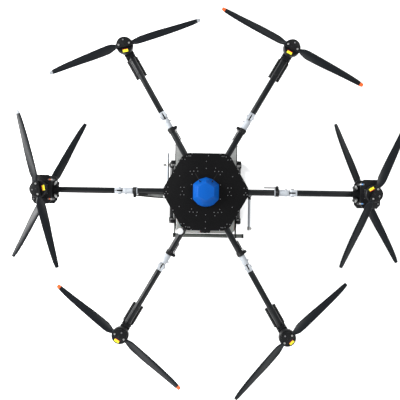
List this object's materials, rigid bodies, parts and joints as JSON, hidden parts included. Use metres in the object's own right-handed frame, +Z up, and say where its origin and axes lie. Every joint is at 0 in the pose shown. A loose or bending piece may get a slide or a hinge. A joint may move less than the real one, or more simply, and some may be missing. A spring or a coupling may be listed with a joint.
{
  "type": "agricultural spray drone",
  "caption": "Folding-arm crop-spraying drone with coaxial rotors on its side arms, folding propellers, a spray tank, folding spray booms and skid landing gear.",
  "frame": {"origin": "on the ground under the drone's vertical axis, between the skids", "axes": "+Z up; +Y to the front, between the two front arms; +X to the right, along the right arm"},
  "size_m": [1.9391, 1.8674, 0.5983],
  "materials": {
    "carbon_plate": "satin black woven carbon laminate, lightly glossy",
    "carbon_tube": "black rolled carbon tube, satin",
    "prop_plastic": "black carbon-filled plastic with a blue-grey sheen",
    "black_plastic": "matt black moulded plastic",
    "black_aluminium": "black anodised aluminium, satin",
    "aluminium": "bare silver aluminium, satin",
    "cover_blue": "glossy bright blue plastic, faceted",
    "tank_plastic": "milky translucent polyethylene"
  },
  "bodies": {
    "airframe": {"bottom_plate": "carbon_plate", "top_plate": "carbon_plate", "gps_cover": "cover_blue", "tank_cradle": "carbon_plate", "spray_tank": "tank_plastic", "battery_pack": "black_plastic", "spray_pump": "black_plastic", "landing_gear_left": "carbon_tube", "landing_gear_right": "carbon_tube", "inner_arm_front_left": "carbon_tube", "inner_arm_front_right": "carbon_tube", "inner_arm_rear_left": "carbon_tube", "inner_arm_rear_right": "carbon_tube", "inner_arm_left": "carbon_tube", "inner_arm_right": "carbon_tube"},
    "arm_front_left": {"outer_arm_front_left": "carbon_tube", "motor_mount_front_left": "black_aluminium"},
    "arm_front_right": {"outer_arm_front_right": "carbon_tube", "motor_mount_front_right": "black_aluminium"},
    "arm_rear_left": {"outer_arm_rear_left": "carbon_tube", "motor_mount_rear_left": "black_aluminium"},
    "arm_rear_right": {"outer_arm_rear_right": "carbon_tube", "motor_mount_rear_right": "black_aluminium"},
    "arm_left": {"outer_arm_left": "carbon_tube", "motor_mount_left": "black_aluminium"},
    "arm_right": {"outer_arm_right": "carbon_tube", "motor_mount_right": "black_aluminium"},
    "lever_front_left": {"lock_lever_front_left": "black_plastic"},
    "lever_front_right": {"lock_lever_front_right": "black_plastic"},
    "lever_rear_left": {"lock_lever_rear_left": "black_plastic"},
    "lever_rear_right": {"lock_lever_rear_right": "black_plastic"},
    "lever_left": {"lock_lever_left": "black_plastic"},
    "lever_right": {"lock_lever_right": "black_plastic"},
    "boom_right": {"spray_boom_right": "aluminium"},
    "boom_left": {"spray_boom_left": "aluminium"},
    "tank_lid": {"tank_lid": "black_plastic"},
    "rotor_front_left": {"rotor_front_left": "black_aluminium"},
    "blade_front_left_a": {"blade_front_left_a": "prop_plastic"},
    "blade_front_left_b": {"blade_front_left_b": "prop_plastic"},
    "rotor_front_right": {"rotor_front_right": "black_aluminium"},
    "blade_front_right_a": {"blade_front_right_a": "prop_plastic"},
    "blade_front_right_b": {"blade_front_right_b": "prop_plastic"},
    "rotor_rear_left": {"rotor_rear_left": "black_aluminium"},
    "blade_rear_left_a": {"blade_rear_left_a": "prop_plastic"},
    "blade_rear_left_b": {"blade_rear_left_b": "prop_plastic"},
    "rotor_rear_right": {"rotor_rear_right": "black_aluminium"},
    "blade_rear_right_a": {"blade_rear_right_a": "prop_plastic"},
    "blade_rear_right_b": {"blade_rear_right_b": "prop_plastic"},
    "rotor_left_upper": {"rotor_left_upper": "black_aluminium"},
    "blade_left_upper_a": {"blade_left_upper_a": "prop_plastic"},
    "blade_left_upper_b": {"blade_left_upper_b": "prop_plastic"},
    "rotor_left_lower": {"rotor_left_lower": "black_aluminium"},
    "blade_left_lower_a": {"blade_left_lower_a": "prop_plastic"},
    "blade_left_lower_b": {"blade_left_lower_b": "prop_plastic"},
    "rotor_right_upper": {"rotor_right_upper": "black_aluminium"},
    "blade_right_upper_a": {"blade_right_upper_a": "prop_plastic"},
    "blade_right_upper_b": {"blade_right_upper_b": "prop_plastic"},
    "rotor_right_lower": {"rotor_right_lower": "black_aluminium"},
    "blade_right_lower_a": {"blade_right_lower_a": "prop_plastic"},
    "blade_right_lower_b": {"blade_right_lower_b": "prop_plastic"}
  },
  "joints": [
    {"name": "front_left_arm_fold", "type": "hinge", "parent": "airframe", "child": "arm_front_left", "pos_m": [-0.2105, 0.3646, 0.471], "axis": [-0.866, -0.5, 0], "range_deg": [0, 90]},
    {"name": "front_right_arm_fold", "type": "hinge", "parent": "airframe", "child": "arm_front_right", "pos_m": [0.2105, 0.3646, 0.471], "axis": [-0.866, 0.5, 0], "range_deg": [0, 90]},
    {"name": "rear_left_arm_fold", "type": "hinge", "parent": "airframe", "child": "arm_rear_left", "pos_m": [-0.2105, -0.3646, 0.471], "axis": [0.866, -0.5, 0], "range_deg": [0, 90]},
    {"name": "rear_right_arm_fold", "type": "hinge", "parent": "airframe", "child": "arm_rear_right", "pos_m": [0.2105, -0.3646, 0.471], "axis": [0.866, 0.5, 0], "range_deg": [0, 90]},
    {"name": "left_arm_fold", "type": "hinge", "parent": "airframe", "child": "arm_left", "pos_m": [-0.421, 0, 0.471], "axis": [0, -1, 0], "range_deg": [0, 90]},
    {"name": "right_arm_fold", "type": "hinge", "parent": "airframe", "child": "arm_right", "pos_m": [0.421, 0, 0.471], "axis": [0, 1, 0], "range_deg": [0, 90]},
    {"name": "front_left_lever", "type": "hinge", "parent": "airframe", "child": "lever_front_left", "pos_m": [-0.14998, 0.31178, 0.471], "axis": [0, 0, 1], "range_deg": [0, 120]},
    {"name": "front_right_lever", "type": "hinge", "parent": "airframe", "child": "lever_front_right", "pos_m": [0.14998, 0.31178, 0.471], "axis": [0, 0, -1], "range_deg": [0, 120]},
    {"name": "rear_left_lever", "type": "hinge", "parent": "airframe", "child": "lever_rear_left", "pos_m": [-0.14998, -0.31178, 0.471], "axis": [0, 0, -1], "range_deg": [0, 120]},
    {"name": "rear_right_lever", "type": "hinge", "parent": "airframe", "child": "lever_rear_right", "pos_m": [0.19502, -0.28578, 0.471], "axis": [0, 0, -1], "range_deg": [0, 120]},
    {"name": "left_lever", "type": "hinge", "parent": "airframe", "child": "lever_left", "pos_m": [-0.345, -0.026, 0.471], "axis": [0, 0, -1], "range_deg": [0, 120]},
    {"name": "right_lever", "type": "hinge", "parent": "airframe", "child": "lever_right", "pos_m": [0.345, 0.026, 0.471], "axis": [0, 0, -1], "range_deg": [0, 120]},
    {"name": "right_boom_fold", "type": "hinge", "parent": "airframe", "child": "boom_right", "pos_m": [0.225, -0.014, 0.3], "axis": [0, 0, 1], "range_deg": [0, 90]},
    {"name": "left_boom_fold", "type": "hinge", "parent": "airframe", "child": "boom_left", "pos_m": [-0.195, 0.02, 0.3], "axis": [0, 0, 1], "range_deg": [0, 90]},
    {"name": "tank_lid", "type": "hinge", "parent": "airframe", "child": "tank_lid", "pos_m": [0, -0.136, 0.355], "axis": [-1, 0, 0], "range_deg": [0, 100]},
    {"name": "front_left_rotor_spin", "type": "hinge", "parent": "arm_front_left", "child": "rotor_front_left", "pos_m": [-0.4, 0.69282, 0.542], "axis": [0, 0, 1], "continuous": true},
    {"name": "front_right_rotor_spin", "type": "hinge", "parent": "arm_front_right", "child": "rotor_front_right", "pos_m": [0.4, 0.69282, 0.542], "axis": [0, 0, 1], "continuous": true},
    {"name": "rear_left_rotor_spin", "type": "hinge", "parent": "arm_rear_left", "child": "rotor_rear_left", "pos_m": [-0.4, -0.69282, 0.542], "axis": [0, 0, 1], "continuous": true},
    {"name": "rear_right_rotor_spin", "type": "hinge", "parent": "arm_rear_right", "child": "rotor_rear_right", "pos_m": [0.4, -0.69282, 0.542], "axis": [0, 0, 1], "continuous": true},
    {"name": "left_upper_rotor_spin", "type": "hinge", "parent": "arm_left", "child": "rotor_left_upper", "pos_m": [-0.79, 0, 0.587], "axis": [0, 0, 1], "continuous": true},
    {"name": "left_lower_rotor_spin", "type": "hinge", "parent": "arm_left", "child": "rotor_left_lower", "pos_m": [-0.79, 0, 0.369], "axis": [0, 0, 1], "continuous": true},
    {"name": "right_upper_rotor_spin", "type": "hinge", "parent": "arm_right", "child": "rotor_right_upper", "pos_m": [0.79, 0, 0.587], "axis": [0, 0, 1], "continuous": true},
    {"name": "right_lower_rotor_spin", "type": "hinge", "parent": "arm_right", "child": "rotor_right_lower", "pos_m": [0.79, 0, 0.369], "axis": [0, 0, 1], "continuous": true},
    {"name": "front_left_blade_a_fold", "type": "hinge", "parent": "rotor_front_left", "child": "blade_front_left_a", "pos_m": [-0.42439, 0.68732, 0.542], "axis": [0, 0, 1], "range_deg": [-80, 80]},
    {"name": "front_left_blade_b_fold", "type": "hinge", "parent": "rotor_front_left", "child": "blade_front_left_b", "pos_m": [-0.37561, 0.69832, 0.542], "axis": [0, 0, -1], "range_deg": [-80, 80]},
    {"name": "front_right_blade_a_fold", "type": "hinge", "parent": "rotor_front_right", "child": "blade_front_right_a", "pos_m": [0.37795, 0.7046, 0.542], "axis": [0, 0, 1], "range_deg": [-80, 80]},
    {"name": "front_right_blade_b_fold", "type": "hinge", "parent": "rotor_front_right", "child": "blade_front_right_b", "pos_m": [0.42205, 0.68105, 0.542], "axis": [0, 0, -1], "range_deg": [-80, 80]},
    {"name": "rear_left_blade_a_fold", "type": "hinge", "parent": "rotor_rear_left", "child": "blade_rear_left_a", "pos_m": [-0.37848, -0.70555, 0.542], "axis": [0, 0, 1], "range_deg": [-80, 80]},
    {"name": "rear_left_blade_b_fold", "type": "hinge", "parent": "rotor_rear_left", "child": "blade_rear_left_b", "pos_m": [-0.42152, -0.68009, 0.542], "axis": [0, 0, -1], "range_deg": [-80, 80]},
    {"name": "rear_right_blade_a_fold", "type": "hinge", "parent": "rotor_rear_right", "child": "blade_rear_right_a", "pos_m": [0.4174, -0.67487, 0.542], "axis": [0, 0, 1], "range_deg": [-80, 80]},
    {"name": "rear_right_blade_b_fold", "type": "hinge", "parent": "rotor_rear_right", "child": "blade_rear_right_b", "pos_m": [0.3826, -0.71077, 0.542], "axis": [0, 0, -1], "range_deg": [-80, 80]},
    {"name": "left_upper_blade_a_fold", "type": "hinge", "parent": "rotor_left_upper", "child": "blade_left_upper_a", "pos_m": [-0.78472, -0.02443, 0.587], "axis": [0, 0, 1], "range_deg": [-80, 80]},
    {"name": "left_upper_blade_b_fold", "type": "hinge", "parent": "rotor_left_upper", "child": "blade_left_upper_b", "pos_m": [-0.79528, 0.02443, 0.587], "axis": [0, 0, -1], "range_deg": [-80, 80]},
    {"name": "left_lower_blade_a_fold", "type": "hinge", "parent": "rotor_left_lower", "child": "blade_left_lower_a", "pos_m": [-0.80166, -0.02211, 0.369], "axis": [0, 0, 1], "range_deg": [-80, 80]},
    {"name": "left_lower_blade_b_fold", "type": "hinge", "parent": "rotor_left_lower", "child": "blade_left_lower_b", "pos_m": [-0.77834, 0.02211, 0.369], "axis": [0, 0, -1], "range_deg": [-80, 80]},
    {"name": "right_upper_blade_a_fold", "type": "hinge", "parent": "rotor_right_upper", "child": "blade_right_upper_a", "pos_m": [0.801, 0.02245, 0.587], "axis": [0, 0, 1], "range_deg": [-80, 80]},
    {"name": "right_upper_blade_b_fold", "type": "hinge", "parent": "rotor_right_upper", "child": "blade_right_upper_b", "pos_m": [0.779, -0.02245, 0.587], "axis": [0, 0, -1], "range_deg": [-80, 80]},
    {"name": "right_lower_blade_a_fold", "type": "hinge", "parent": "rotor_right_lower", "child": "blade_right_lower_a", "pos_m": [0.77967, 0.02277, 0.369], "axis": [0, 0, 1], "range_deg": [-80, 80]},
    {"name": "right_lower_blade_b_fold", "type": "hinge", "parent": "rotor_right_lower", "child": "blade_right_lower_b", "pos_m": [0.80033, -0.02277, 0.369], "axis": [0, 0, -1], "range_deg": [-80, 80]}
  ]
}
